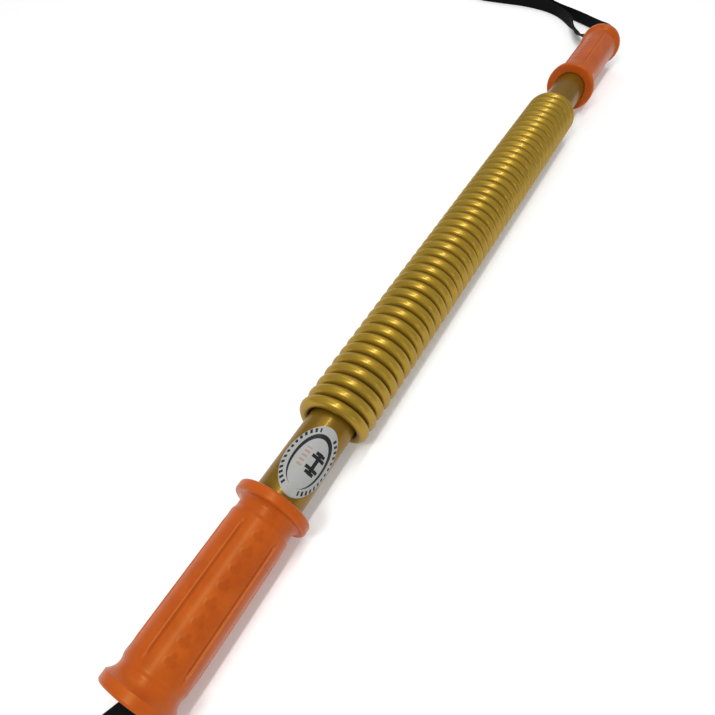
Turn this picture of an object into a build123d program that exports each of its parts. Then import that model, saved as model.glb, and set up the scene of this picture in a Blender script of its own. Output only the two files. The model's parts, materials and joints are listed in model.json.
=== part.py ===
"""A spring bending bar: two gripped steel tubes joined by one long coil spring, with a strap at each end.

Millimetres, +Z up. The bar lies on a floor at z = 0 on the flanges of its grips, and its length runs along X.
The origin is under the middle of the bar, on the floor. The bar bends sideways, towards -Y.
"""

import os
from math import pi, radians, sin, tan

from build123d import *

# ---- driving dimensions ------------------------------------------------------------------------------

# spring
WIRE = 6.5  # wire diameter
COIL_GAP = 1.65  # gap between two turns of the relaxed spring
TUBE_CLEARANCE = 0.7  # between the tube and the inside of the spring
NEAR_END_TURNS = 7.75  # turns held on the near tube, up to the first place where the spring bends
FAR_END_TURNS = 8.25
GROUPS = 14  # bending lengths between the two held ends
GROUP_TURNS = 2
CUT_GAP = 0.3  # running gap between the wire's cut faces
WIRE_START_ANGLE = -90.0  # the wire's ends lie underneath

# tubes
TUBE = 26.8  # outside diameter of the steel tube
TUBE_WALL = 2.0
TUBE_SHOWING = 50.7  # from the grip's flange to the centre of the spring's first wire
TUBE_END_BACK = 6.2  # how far the tube's inner end stops short of the first bend

# anchor thread: a thin wire welded round the tube, which the spring is screwed onto
THREAD_CLEARANCE = 0.35  # between the thread and the turns on both sides of its groove
THREAD_TURNS = 4.5
THREAD_START_TURNS = 1.25  # turns of the spring before the thread starts
WELD_BITE = 0.3  # how far the weld sinks the thread into the tube

# grip
GRIP_LENGTH = 100.0
HAND_WALL = 2.9  # thickness of the sleeve in the raised hand zone
NECK_WALL = 2.1  # thickness of the sleeve at both ends of the hand zone
GRIP_END_WALL = 4.0
INNER_FLANGE_STAND = 0.3  # how far the inner flange stands out past the spring
INNER_FLANGE_THICK = 6.0
INNER_FLANGE_FILLET = 3.3
INNER_NECK = 3.7  # length of the neck beside the inner flange
OUTER_FLANGE_STAND = 3.0  # how far the outer flange stands out from the neck
OUTER_FLANGE_THICK = 5.0
OUTER_FLANGE_TAPER = 5.0
OUTER_NECK = 2.0
FLANGE_ROUND = 1.6
HAND_ZONE_ROUND = 0.7

# finger panels: shallow recesses along the hand zone, each with one row of raised studs
PANELS = 3
PANEL_ANGLE = 74.0
PANEL_DEPTH = 0.5
PANEL_MARGIN = 3.0  # from each end of the hand zone
FIRST_PANEL_AT = 116.0  # angle of the first panel's middle, from +Y towards +Z
STUD = 5.6
STUD_PITCH = 8.4
STUD_HEIGHT = 0.4

# wrist straps
STRAP = 11.0  # width of the webbing, and the diameter of its plain solid
STRAND_GAP = 1.4  # between the two strands where they leave the grip
STRAP_HOLE = 10.0  # hole in the grip's end wall
STRAP_HOLE_CLEARANCE = 0.2
KNOT_CLEARANCE = 2.4  # between the knot and the tube's bore
KNOT_LENGTH = 22.0

# label on the near tube
LABEL_LENGTH = 41.8
LABEL_WRAP = 131.0  # angle that the label covers round the tube
LABEL_THICK = 0.2
LABEL_OFF_MIDDLE = -1.5  # from the middle of the showing tube, towards the spring
LABEL_AT = 116.0  # angle from +Y towards +Z

# ---- sizes that follow -------------------------------------------------------------------------------

PITCH = WIRE + COIL_GAP
COIL_MEAN = TUBE + 2 * TUBE_CLEARANCE + WIRE
COIL_OUTSIDE = COIL_MEAN + WIRE
SPRING_TURNS = NEAR_END_TURNS + GROUPS * GROUP_TURNS + FAR_END_TURNS
SPRING_LENGTH = SPRING_TURNS * PITCH  # between the centres of the wire's two ends
SPRING_START = -SPRING_LENGTH / 2
FIRST_HINGE = SPRING_START + NEAR_END_TURNS * PITCH
TUBE_INNER_END = SPRING_START + min(NEAR_END_TURNS, FAR_END_TURNS) * PITCH - TUBE_END_BACK
BAR_HALF = SPRING_LENGTH / 2 + TUBE_SHOWING + GRIP_LENGTH
INNER_FLANGE = COIL_OUTSIDE + 2 * INNER_FLANGE_STAND
AXIS_HEIGHT = INNER_FLANGE / 2
NECK = TUBE + 2 * NECK_WALL
HAND_ZONE = TUBE + 2 * HAND_WALL
OUTER_FLANGE = NECK + 2 * OUTER_FLANGE_STAND
HAND_ZONE_START = OUTER_FLANGE_THICK + OUTER_FLANGE_TAPER + OUTER_NECK
HAND_ZONE_END = GRIP_LENGTH - INNER_FLANGE_THICK - INNER_FLANGE_FILLET - INNER_NECK
PANEL_LENGTH = HAND_ZONE_END - HAND_ZONE_START - 2 * PANEL_MARGIN
STUDS = int((PANEL_LENGTH - STUD) / STUD_PITCH) + 1
KNOT = TUBE - 2 * TUBE_WALL - 2 * KNOT_CLEARANCE
EXIT_SIDE = (STRAP + STRAND_GAP) / 2  # each strand's place beside the bar's axis where it leaves the grip
ON_FLOOR = STRAP / 2  # height of a strand's middle where it lies on the floor

# Points of each strap's loop, from the outer end face of its grip: away from the bar, along Y, and up.
NEAR_STRAP_ROUTE = [
    (0, EXIT_SIDE, AXIS_HEIGHT),
    (-25, EXIT_SIDE, AXIS_HEIGHT),
    (-53, 15, 11),
    (-82, 31, ON_FLOOR),
    (-111, 49, ON_FLOOR),
    (-137, 74, ON_FLOOR),
    (-169, 94, ON_FLOOR),
    (-204, 88, ON_FLOOR),
    (-222, 57, ON_FLOOR),
    (-209, 24, ON_FLOOR),
    (-176, 9, ON_FLOOR),
    (-142, 11, ON_FLOOR),
    (-109, 2, ON_FLOOR),
    (-80, -9, 6),
    (-53, -9, 12),
    (-26, -EXIT_SIDE, AXIS_HEIGHT),
    (0, -EXIT_SIDE, AXIS_HEIGHT),
]
FAR_STRAP_ROUTE = [
    (0, EXIT_SIDE, AXIS_HEIGHT),
    (24, EXIT_SIDE, AXIS_HEIGHT),
    (49, 21, 12),
    (67, 46, ON_FLOOR),
    (80, 75, ON_FLOOR),
    (81, 107, ON_FLOOR),
    (71, 137, ON_FLOOR),
    (72, 169, ON_FLOOR),
    (92, 193, ON_FLOOR),
    (124, 195, ON_FLOOR),
    (149, 174, ON_FLOOR),
    (149, 140, ON_FLOOR),
    (132, 109, ON_FLOOR),
    (110, 81, ON_FLOOR),
    (94, 51, ON_FLOOR),
    (70, 22, 9),
    (35, -EXIT_SIDE, AXIS_HEIGHT),
    (0, -EXIT_SIDE, AXIS_HEIGHT),
]
STRAP_ARC_SHARE = 0.45  # share of the shorter run that each corner's arc may take

# The bar is modelled about its own axis: local z along the bar, local x towards +Y and local y upwards.
BAR = Plane(origin=(0, 0, AXIS_HEIGHT), x_dir=(0, 1, 0), z_dir=(1, 0, 0))
UPRIGHT = (Align.CENTER, Align.CENTER, Align.MIN)


def on_bar(shape):
    """Moves a shape modelled about the bar's axis to its place over the floor."""
    return BAR * shape


def coil_length(wire, mean_diameter, start_turns, turns, trim_start, trim_end):
    """A length of wire wound on the spring's helix, start_turns after the spring's first end."""
    turn_length = ((pi * mean_diameter) ** 2 + PITCH**2) ** 0.5
    first = start_turns + trim_start / turn_length
    last = start_turns + turns - trim_end / turn_length
    path = Helix(pitch=PITCH, height=(last - first) * PITCH, radius=mean_diameter / 2)
    section = Plane(origin=path @ 0, z_dir=path % 0) * Circle(wire / 2)
    wound = sweep(section, path=path, is_frenet=True)
    turned = Rot(0, 0, WIRE_START_ANGLE + 360 * first) * wound
    return Pos(0, 0, SPRING_START + first * PITCH) * turned


def make_tube():
    """The near tube, from the grip's end wall to its open end inside the spring."""
    start = -BAR_HALF + GRIP_END_WALL
    length = TUBE_INNER_END - start
    outside = Cylinder(TUBE / 2, length, align=UPRIGHT)
    bore = Cylinder(TUBE / 2 - TUBE_WALL, length, align=UPRIGHT)
    return Pos(0, 0, start) * (outside - bore)


def thread_wire():
    """Diameter of the wire that lies on the tube and keeps its clearance from the turns on both sides."""
    rise = (COIL_MEAN - TUBE) / 2 + WELD_BITE
    keep = WIRE / 2 + THREAD_CLEARANCE
    return ((PITCH / 2) ** 2 + rise**2 - keep**2) / (rise + keep)


def make_thread(start_turns):
    """The anchor thread, in the middle of the groove between the spring's turns."""
    wire = thread_wire()
    mean = TUBE + wire - 2 * WELD_BITE
    return Pos(0, 0, PITCH / 2) * coil_length(wire, mean, start_turns, THREAD_TURNS, 0, 0)


def grip_outline():
    """Half of the grip's section, radius along x and distance from the outer end along y."""
    neck = NECK / 2
    body = HAND_ZONE / 2
    outer = OUTER_FLANGE / 2
    inner = INNER_FLANGE / 2
    taper_end = OUTER_FLANGE_THICK + OUTER_FLANGE_TAPER
    flange_start = GRIP_LENGTH - INNER_FLANGE_THICK
    step = HAND_ZONE_ROUND
    with BuildLine() as line:
        Polyline((0, 0), (outer - FLANGE_ROUND, 0))
        RadiusArc((outer - FLANGE_ROUND, 0), (outer, FLANGE_ROUND), -FLANGE_ROUND)
        Line((outer, FLANGE_ROUND), (outer, OUTER_FLANGE_THICK))
        Spline(
            [(outer, OUTER_FLANGE_THICK), (neck, taper_end)],
            tangents=[(-1, 0.6), (0, 1)],
        )
        Line((neck, taper_end), (neck, HAND_ZONE_START - step))
        Line((neck, HAND_ZONE_START - step), (body, HAND_ZONE_START + step))
        Line((body, HAND_ZONE_START + step), (body, HAND_ZONE_END - step))
        Line((body, HAND_ZONE_END - step), (neck, HAND_ZONE_END + step))
        Line((neck, HAND_ZONE_END + step), (neck, flange_start - INNER_FLANGE_FILLET))
        RadiusArc(
            (neck, flange_start - INNER_FLANGE_FILLET),
            (neck + INNER_FLANGE_FILLET, flange_start),
            INNER_FLANGE_FILLET,
        )
        Line((neck + INNER_FLANGE_FILLET, flange_start), (inner - FLANGE_ROUND, flange_start))
        RadiusArc(
            (inner - FLANGE_ROUND, flange_start),
            (inner, flange_start + FLANGE_ROUND),
            -FLANGE_ROUND,
        )
        Line((inner, flange_start + FLANGE_ROUND), (inner, GRIP_LENGTH - FLANGE_ROUND))
        RadiusArc(
            (inner, GRIP_LENGTH - FLANGE_ROUND),
            (inner - FLANGE_ROUND, GRIP_LENGTH),
            -FLANGE_ROUND,
        )
        Polyline((inner - FLANGE_ROUND, GRIP_LENGTH), (0, GRIP_LENGTH), (0, 0))
    return make_face(line.line)


def panel_recess(middle):
    """The space of one finger panel, a sector of a ring along the hand zone."""
    ring = Cylinder(HAND_ZONE, PANEL_LENGTH) - Cylinder(HAND_ZONE / 2 - PANEL_DEPTH, PANEL_LENGTH)
    side = HAND_ZONE * tan(radians(PANEL_ANGLE / 2))
    wedge = Polyline((0, 0), (HAND_ZONE, -side), (HAND_ZONE, side), (0, 0))
    sector = extrude(make_face(wedge), PANEL_LENGTH / 2, both=True)
    return Rot(0, 0, middle) * (ring & sector)


def panel_studs(middle):
    """One row of low round studs down the middle of a finger panel."""
    floor = HAND_ZONE / 2 - PANEL_DEPTH
    top = floor + STUD_HEIGHT
    column = Rot(0, 90, 0) * Cylinder(STUD / 2, top, align=UPRIGHT)
    stud = column & Cylinder(top, STUD * 2)
    stud -= Cylinder(floor - STUD_HEIGHT, STUD * 2)
    row = [Pos(0, 0, (i - (STUDS - 1) / 2) * STUD_PITCH) * stud for i in range(STUDS)]
    return [Rot(0, 0, middle) * one for one in row]


def make_grip():
    """The near grip: a moulded sleeve, closed at its outer end but for the strap's hole."""
    sleeve = revolve(Plane.XZ * grip_outline(), Axis.Z)
    zone_middle = (HAND_ZONE_START + HAND_ZONE_END) / 2
    for i in range(PANELS):
        middle = FIRST_PANEL_AT + i * 360 / PANELS
        sleeve -= Pos(0, 0, zone_middle) * panel_recess(middle)
        for stud in panel_studs(middle):
            sleeve += Pos(0, 0, zone_middle) * stud
    sleeve -= Pos(0, 0, GRIP_END_WALL) * Cylinder(TUBE / 2, GRIP_LENGTH, align=UPRIGHT)
    sleeve -= Cylinder(STRAP_HOLE / 2, GRIP_END_WALL, align=UPRIGHT)
    return Pos(0, 0, -BAR_HALF) * sleeve


def make_knot():
    """The knot that keeps the near strap in the tube, with the neck that fills the hole in the end wall."""
    knot = Cylinder(KNOT / 2, KNOT_LENGTH, align=UPRIGHT)
    knot = fillet(knot.edges(), KNOT / 4)
    neck = Cylinder(STRAP_HOLE / 2 - STRAP_HOLE_CLEARANCE, GRIP_END_WALL + KNOT_LENGTH / 2, align=UPRIGHT)
    return Pos(0, 0, -BAR_HALF) * (Pos(0, 0, GRIP_END_WALL) * knot + neck)


def make_label():
    """The oval label, a thin shell wrapped on the near tube."""
    sheet = Cylinder(TUBE / 2 + LABEL_THICK, LABEL_LENGTH) - Cylinder(TUBE / 2, LABEL_LENGTH)
    flat_width = TUBE * sin(radians(LABEL_WRAP / 2))
    oval = Rot(0, 90, 0) * Ellipse(LABEL_LENGTH / 2, flat_width / 2)
    stamp = extrude(oval, TUBE, dir=(1, 0, 0))
    middle = SPRING_START - TUBE_SHOWING / 2 + LABEL_OFF_MIDDLE
    return Pos(0, 0, middle) * Rot(0, 0, LABEL_AT) * (sheet & stamp)


def at_far_end(shape):
    """The far end's piece: the near end's, turned end for end about the vertical."""
    return Rot(0, 180, 0) * shape


def make_strap(name, end_x, route):
    """A strap's loop as a plain tube of straight runs joined by tangent arcs. Prints its length and radii."""
    points = [Vector(end_x + x, y, z) for x, y, z in route]
    runs = [b - a for a, b in zip(points, points[1:])]
    radii = []
    for before, after in zip(runs, runs[1:]):
        half_turn = radians(before.get_angle(after)) / 2
        radii.append(STRAP_ARC_SHARE * min(before.length, after.length) / tan(half_turn))
    path = FilletPolyline(*points, radius=radii)
    tube = sweep(Plane(origin=path @ 0, z_dir=path % 0) * Circle(STRAP / 2), path=path)
    whole = pi * (STRAP / 2) ** 2 * path.length
    print(name, "length", round(path.length, 1), "volume share", round(tube.volume / whole, 4))
    print(name, "radii", [round(r, 1) for r in radii], "runs", [round(run.length, 1) for run in runs])
    return tube


def build_nodes():
    """Every piece of the bar, by name, in its place."""
    tube = make_tube()
    grip = make_grip()
    knot = make_knot()
    far_thread_start = SPRING_TURNS - 1 - THREAD_START_TURNS - THREAD_TURNS
    far_end_start = NEAR_END_TURNS + GROUPS * GROUP_TURNS
    half_gap = CUT_GAP / 2
    nodes = {
        "near_grip": on_bar(grip),
        "far_grip": on_bar(at_far_end(grip)),
        "near_tube": on_bar(tube),
        "far_tube": on_bar(at_far_end(tube)),
        "near_anchor_thread": on_bar(make_thread(THREAD_START_TURNS)),
        "far_anchor_thread": on_bar(make_thread(far_thread_start)),
        "near_strap_knot": on_bar(knot),
        "far_strap_knot": on_bar(at_far_end(knot)),
        "near_label": on_bar(make_label()),
        "near_strap": make_strap("near strap", -BAR_HALF, NEAR_STRAP_ROUTE),
        "far_strap": make_strap("far strap", BAR_HALF, FAR_STRAP_ROUTE),
        "near_spring_end": on_bar(coil_length(WIRE, COIL_MEAN, 0, NEAR_END_TURNS, 0, half_gap)),
    }
    group = coil_length(WIRE, COIL_MEAN, NEAR_END_TURNS, GROUP_TURNS, half_gap, half_gap)
    for i in range(GROUPS):
        moved = Pos(0, 0, i * GROUP_TURNS * PITCH) * group
        nodes[f"spring_group_{i + 1:02d}"] = on_bar(moved)
    nodes["far_spring_end"] = on_bar(coil_length(WIRE, COIL_MEAN, far_end_start, FAR_END_TURNS, half_gap, 0))
    return nodes


def main():
    os.makedirs("parts", exist_ok=True)
    for name, shape in build_nodes().items():
        export_step(shape, os.path.join("parts", name + ".step"))
    print("bar length", round(2 * BAR_HALF, 1), "spring outside", COIL_OUTSIDE, "pitch", PITCH)
    print("first hinge at x", round(FIRST_HINGE, 2), "then every", GROUP_TURNS * PITCH)


main()
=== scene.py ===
"""Looks of the spring bending bar: grips, wound wire, painted tubes, printed label, straps and stage."""

import json
import math

import bmesh
import bpy
from bpy.props import FloatProperty, FloatVectorProperty, IntProperty, PointerProperty
from mathutils import Matrix, Vector

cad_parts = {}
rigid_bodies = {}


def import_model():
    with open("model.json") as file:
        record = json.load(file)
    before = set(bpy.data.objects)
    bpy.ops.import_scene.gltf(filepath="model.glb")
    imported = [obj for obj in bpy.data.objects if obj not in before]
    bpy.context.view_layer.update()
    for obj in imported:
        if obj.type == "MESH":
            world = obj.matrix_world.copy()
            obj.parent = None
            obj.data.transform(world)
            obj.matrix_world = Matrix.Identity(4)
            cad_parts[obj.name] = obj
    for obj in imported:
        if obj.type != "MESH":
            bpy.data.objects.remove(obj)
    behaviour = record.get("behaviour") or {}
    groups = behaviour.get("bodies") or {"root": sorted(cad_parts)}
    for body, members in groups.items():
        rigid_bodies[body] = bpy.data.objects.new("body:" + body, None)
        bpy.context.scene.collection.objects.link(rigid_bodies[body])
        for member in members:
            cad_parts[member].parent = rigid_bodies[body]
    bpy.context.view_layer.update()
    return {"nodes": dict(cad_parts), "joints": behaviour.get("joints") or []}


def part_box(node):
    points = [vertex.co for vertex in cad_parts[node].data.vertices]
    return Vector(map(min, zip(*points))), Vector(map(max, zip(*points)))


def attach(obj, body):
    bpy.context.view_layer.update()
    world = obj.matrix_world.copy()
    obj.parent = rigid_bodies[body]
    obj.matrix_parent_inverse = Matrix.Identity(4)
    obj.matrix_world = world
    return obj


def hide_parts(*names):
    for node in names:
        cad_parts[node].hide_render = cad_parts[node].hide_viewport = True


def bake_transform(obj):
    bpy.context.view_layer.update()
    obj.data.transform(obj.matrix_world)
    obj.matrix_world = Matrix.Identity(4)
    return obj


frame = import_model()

bl_info = {
    "name": "Spring Bending Bar",
    "version": (1, 0, 0),
    "blender": (4, 5, 0),
    "location": "View3D > Sidebar > Bending Bar",
    "description": "Models the grips, spring, label and straps of a spring bending bar around its CAD frame",
    "category": "Object",
}

MM = 0.001

# Where things are, read from the frame.
NEAR_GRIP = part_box("near_grip")
FAR_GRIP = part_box("far_grip")
AXIS_HEIGHT = (NEAR_GRIP[0].z + NEAR_GRIP[1].z) / 2
BAR_START = NEAR_GRIP[0].x
BAR_END = FAR_GRIP[1].x
GRIP_LENGTH = NEAR_GRIP[1].x - NEAR_GRIP[0].x
FLANGE_RADIUS = (NEAR_GRIP[1].z - NEAR_GRIP[0].z) / 2
COIL_RADIUS = (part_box("near_spring_end")[1].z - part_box("near_spring_end")[0].z) / 2
TUBE_RADIUS = (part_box("far_tube")[1].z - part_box("far_tube")[0].z) / 2
LABEL_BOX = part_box("near_label")
LABEL_AT = math.radians(116)
LABEL_HALF_ANGLE = math.radians(65.5)
HINGES = [Vector(joint["pos_m"]) for joint in frame["joints"]]
BODY_CHAIN = [frame["joints"][0]["parent"]] + [joint["child"] for joint in frame["joints"]]
TURNS_PER_HINGE = 2
PITCH = (HINGES[1].x - HINGES[0].x) / TURNS_PER_HINGE


# ---- properties ------------------------------------------


def length_setting(name, description, metres):
    return FloatProperty(name=name, description=description, default=metres, unit="LENGTH")


def angle_setting(name, description, degrees):
    return FloatProperty(name=name, description=description, default=math.radians(degrees), subtype="ANGLE")


def number_setting(name, description, value):
    return FloatProperty(name=name, description=description, default=value)


def colour_setting(name, description, value):
    return FloatVectorProperty(name=name, description=description, default=value, subtype="COLOR")


class SpringSizes(bpy.types.PropertyGroup):
    wire: length_setting("Wire", "Diameter of the spring's wire", 7.1 * MM)
    near_turns: number_setting("Near turns", "Turns from the near end to the first bend", 7.75)
    far_turns: number_setting("Far turns", "Turns from the last bend to the far end", 8.25)
    start_angle: angle_setting("Start angle", "Where the wire starts round the bar, from +Y towards +Z", -90)
    steps: IntProperty(name="Steps", description="Sections in one turn of the wire", default=64)
    sides: IntProperty(name="Sides", description="Sides of the wire's section", default=20)
    end_round: length_setting("End round", "Rounding of the wire's cut ends", 0.6 * MM)


class GripSizes(bpy.types.PropertyGroup):
    tube_wall: length_setting("Hand wall", "Sleeve thickness in the hand zone", 2.9 * MM)
    neck_wall: length_setting("Neck wall", "Sleeve thickness at the necks", 2.1 * MM)
    end_wall: length_setting("End wall", "Thickness of the closed outer end", 4 * MM)
    strap_hole: length_setting("Strap hole", "Diameter of the hole for the strap", 10 * MM)
    outer_flange: length_setting("Outer flange", "Diameter of the outer flange", 37 * MM)
    outer_thick: length_setting("Outer flange band", "Width of the outer flange", 5 * MM)
    outer_taper: length_setting("Outer taper", "Length of the hollow taper", 5 * MM)
    inner_thick: length_setting("Inner flange band", "Width of the inner flange", 6 * MM)
    inner_fillet: length_setting("Inner fillet", "Radius beside the inner flange", 3.3 * MM)
    flange_round: length_setting("Flange round", "Rounding of the flanges' rims", 1.6 * MM)
    hand_start: length_setting("Hand zone start", "From the outer end", 12 * MM)
    hand_end: length_setting("Hand zone end", "From the outer end", 87 * MM)
    panels: IntProperty(name="Panels", description="Finger panels round the grip", default=3)
    panel_angle: angle_setting("Panel angle", "Width of one finger panel", 75)
    panel_at: angle_setting("First panel", "Middle of the first panel", 116)
    panel_margin: length_setting("Panel margin", "From each end of the hand zone", 3 * MM)
    panel_fade: length_setting("Panel fade", "Length over which a panel rises at its ends", 6 * MM)
    stud_shift: length_setting("Stud shift", "Of the row of studs from the panel's middle", 1 * MM)
    panel_depth: length_setting("Panel depth", "How deep the panels lie", 0.5 * MM)
    ridge: length_setting("Ridge", "Height of the bead along a panel", 0.5 * MM)
    stud_pitch: length_setting("Stud pitch", "Spacing of the studs", 8.4 * MM)
    stud_height: length_setting("Stud height", "Height of the studs", 0.12 * MM)
    studs: IntProperty(name="Studs", description="Studs in one panel", default=8)
    around: IntProperty(name="Around", description="Faces round the grip", default=216)
    ring_step: length_setting("Ring step", "Ring spacing in the hand zone", 0.5 * MM)


class StrapSizes(bpy.types.PropertyGroup):
    width: length_setting("Width", "Width of the webbing", 11 * MM)
    thick: length_setting("Thickness", "Thickness of the webbing", 1.7 * MM)
    step: length_setting("Step", "Spacing of the webbing's sections", 1.5 * MM)
    gathered: number_setting("Gathered", "Share of the width left in the grip's hole", 0.8)
    gather_reach: length_setting("Gather reach", "Where the webbing is flat again", 16 * MM)


class StageSettings(bpy.types.PropertyGroup):
    lens: number_setting("Lens", "Camera lens in millimetres", 28.2)
    camera_back: length_setting("Camera back", "Camera's place along the bar", -300.1 * MM)
    camera_side: length_setting("Camera side", "Camera's place across the bar", -89.1 * MM)
    camera_height: length_setting("Camera height", "Camera's height over the floor", 290.1 * MM)
    camera_heading: angle_setting("Heading", "From +X towards +Y", 30.67)
    camera_pitch: angle_setting("Pitch", "Below the horizon", 53.94)
    key_power: number_setting("Key", "Power of the overhead light in watts", 4.5)
    strip_power: number_setting("Strip", "Power of the long light over the bar in watts", 6.5)
    side_power: number_setting("Side", "Power of the side light in watts", 0.6)
    fill_power: number_setting("Fill", "Power of the wide fill light in watts", 4.2)
    sky: number_setting("Sky", "Strength of the even light all round", 0.44)


class FinishColours(bpy.types.PropertyGroup):
    orange: colour_setting("Grip", "Grip plastic", (0.475, 0.078, 0.009))
    gold: colour_setting("Gold", "Metallic paint", (0.36, 0.23, 0.023))
    # The tube gold is the same gold paint made darker: painted shade on the tubes.
    shaded_tube_gold: colour_setting("Tube gold", "Browner paint on the tubes", (0.215, 0.122, 0.009))
    # The groove colour is painted shade: it darkens the wire's inner half, down between the turns, where
    # shade falls.
    groove_shade: colour_setting("Groove", "Paint down between the turns", (0.18, 0.10, 0.010))
    webbing: colour_setting("Webbing", "Strap yarn", (0.0007, 0.0008, 0.0009))
    film: colour_setting("Label film", "Unprinted label", (0.385, 0.39, 0.375))
    floor: colour_setting("Floor", "Stage floor", (0.93, 0.93, 0.93))


class BarSettings(bpy.types.PropertyGroup):
    spring: PointerProperty(type=SpringSizes)
    grip: PointerProperty(type=GripSizes)
    strap: PointerProperty(type=StrapSizes)
    stage: PointerProperty(type=StageSettings)
    colours: PointerProperty(type=FinishColours)


def settings():
    return bpy.context.scene.bending_bar


# ---- node helpers ----------------------------------------


def link(tree, source, target):
    tree.links.new(source, target)


def add_node(tree, kind, **values):
    """Adds a node and sets its properties, and its inputs where the name is one."""
    node = tree.nodes.new(kind)
    for name, value in values.items():
        if hasattr(node, name):
            setattr(node, name, value)
        else:
            node.inputs[name.replace("_", " ")].default_value = value
    return node


def set_input(tree, socket, value):
    """Gives an input its value: another node's output, a number or a colour."""
    if isinstance(value, bpy.types.NodeSocket):
        tree.links.new(value, socket)
    elif isinstance(value, (int, float)):
        socket.default_value = value
    else:
        socket.default_value = (*value[:3], 1)


def math_node(tree, operation, first, second=None, clamp=False):
    """A Math node whose inputs are sockets or numbers. Returns its output."""
    node = add_node(tree, "ShaderNodeMath", operation=operation, use_clamp=clamp)
    for socket, value in zip(node.inputs, (first, second)):
        if value is not None:
            set_input(tree, socket, value)
    return node.outputs[0]


def mix_colour(tree, factor, first, second):
    """A colour mix whose inputs are sockets or colours. Returns its output."""
    node = add_node(tree, "ShaderNodeMix", data_type="RGBA")
    for index, value in ((0, factor), (6, first), (7, second)):
        set_input(tree, node.inputs[index], value)
    return node.outputs[2]


def tint(tree, mask, share, below, tone):
    """Lays a tone over a colour where a mask says, up to a share of it. Returns the new colour."""
    return mix_colour(tree, math_node(tree, "MULTIPLY", mask, share), below, tone)


def remap(tree, value, low, high, new_low, new_high):
    """A clamped Map Range node. Returns its output."""
    node = tree.nodes.new("ShaderNodeMapRange")
    tree.links.new(value, node.inputs[0])
    for socket, number in zip(node.inputs[1:5], (low, high, new_low, new_high)):
        socket.default_value = number
    return node.outputs[0]


def new_group(name, outputs, **numbers):
    """A shader node group of a vector and numbers. Returns the tree, its input and its output node."""
    tree = bpy.data.node_groups.new(name, "ShaderNodeTree")
    tree.interface.new_socket("Vector", in_out="INPUT", socket_type="NodeSocketVector")
    for label, default in numbers.items():
        socket = tree.interface.new_socket(label, in_out="INPUT", socket_type="NodeSocketFloat")
        socket.default_value = default
    for label in outputs:
        tree.interface.new_socket(label, in_out="OUTPUT", socket_type="NodeSocketFloat")
    return tree, tree.nodes.new("NodeGroupInput"), tree.nodes.new("NodeGroupOutput")


def add_texture(tree, kind, given, **values):
    """A texture in a group, with its place and, unless it is set here, its scale from the group's inputs."""
    texture = add_node(tree, kind, **values)
    link(tree, given.outputs["Vector"], texture.inputs["Vector"])
    if "Scale" not in values:
        link(tree, given.outputs["Scale"], texture.inputs["Scale"])
    return texture


def build_grain_group():
    """Fine moulded or sprayed grain: a mask from 0 to 1 and a height for a Bump node."""
    tree, given, out = new_group("Fine grain", ("Mask", "Height"), Scale=900.0)
    fine = add_texture(tree, "ShaderNodeTexNoise", given, Detail=4.0, Roughness=0.6)
    cells = add_texture(tree, "ShaderNodeTexVoronoi", given, feature="SMOOTH_F1")
    blended = math_node(tree, "MULTIPLY", fine.outputs[0], cells.outputs["Distance"])
    link(tree, fine.outputs[0], out.inputs["Mask"])
    link(tree, blended, out.inputs["Height"])
    return tree


def build_cloud_group():
    """Slow colour variation, as in moulded plastic or sprayed paint: a mask from 0 to 1."""
    tree, given, out = new_group("Slow clouds", ("Mask",), Scale=60.0, Contrast=1.0)
    noise = add_texture(tree, "ShaderNodeTexNoise", given, Detail=3.0, Roughness=0.55, Distortion=0.4)
    centred = math_node(tree, "SUBTRACT", noise.outputs[0], 0.5)
    stretched = math_node(tree, "MULTIPLY", centred, given.outputs["Contrast"])
    link(tree, math_node(tree, "ADD", stretched, 0.5, clamp=True), out.inputs["Mask"])
    return tree


def build_dust_group():
    """Sparse dust and small marks from handling: a mask from 0 to 1."""
    tree, given, out = new_group("Dust and marks", ("Mask",), Scale=400.0, Amount=0.3)
    specks = add_texture(tree, "ShaderNodeTexNoise", given, Detail=6.0, Roughness=0.75)
    drift = add_texture(tree, "ShaderNodeTexNoise", given, Scale=35.0, Detail=2.0)
    sharp = remap(tree, specks.outputs[0], 0.56, 0.72, 0.0, 1.0)
    patchy = remap(tree, drift.outputs[0], 0.4, 0.7, 0.2, 1.0)
    both = math_node(tree, "MULTIPLY", sharp, patchy)
    amount = math_node(tree, "MULTIPLY", both, given.outputs["Amount"], clamp=True)
    link(tree, amount, out.inputs["Mask"])
    return tree


def build_radius_group():
    """Distance from the bar's axis, angle round it and place along it, all from a place in the scene."""
    tree, given, out = new_group("Distance from the bar's axis", ("Distance", "Angle", "Along"))
    parts = add_node(tree, "ShaderNodeSeparateXYZ")
    link(tree, given.outputs["Vector"], parts.inputs[0])
    height = math_node(tree, "SUBTRACT", parts.outputs["Z"], AXIS_HEIGHT)
    across = math_node(tree, "MULTIPLY", parts.outputs["Y"], parts.outputs["Y"])
    square = math_node(tree, "ADD", across, math_node(tree, "MULTIPLY", height, height))
    link(tree, math_node(tree, "SQRT", square), out.inputs["Distance"])
    link(tree, math_node(tree, "ARCTAN2", height, parts.outputs["Y"]), out.inputs["Angle"])
    link(tree, parts.outputs["X"], out.inputs["Along"])
    return tree


GROUP_BUILDERS = {
    "Fine grain": build_grain_group,
    "Slow clouds": build_cloud_group,
    "Dust and marks": build_dust_group,
    "Distance from the bar's axis": build_radius_group,
}


def use_group(tree, name, vector, **values):
    """Places a shared group in a material, building it the first time."""
    group = bpy.data.node_groups.get(name) or GROUP_BUILDERS[name]()
    node = tree.nodes.new("ShaderNodeGroup")
    node.node_tree = group
    link(tree, vector, node.inputs[0])
    for label, value in values.items():
        node.inputs[label].default_value = value
    return node


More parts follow.
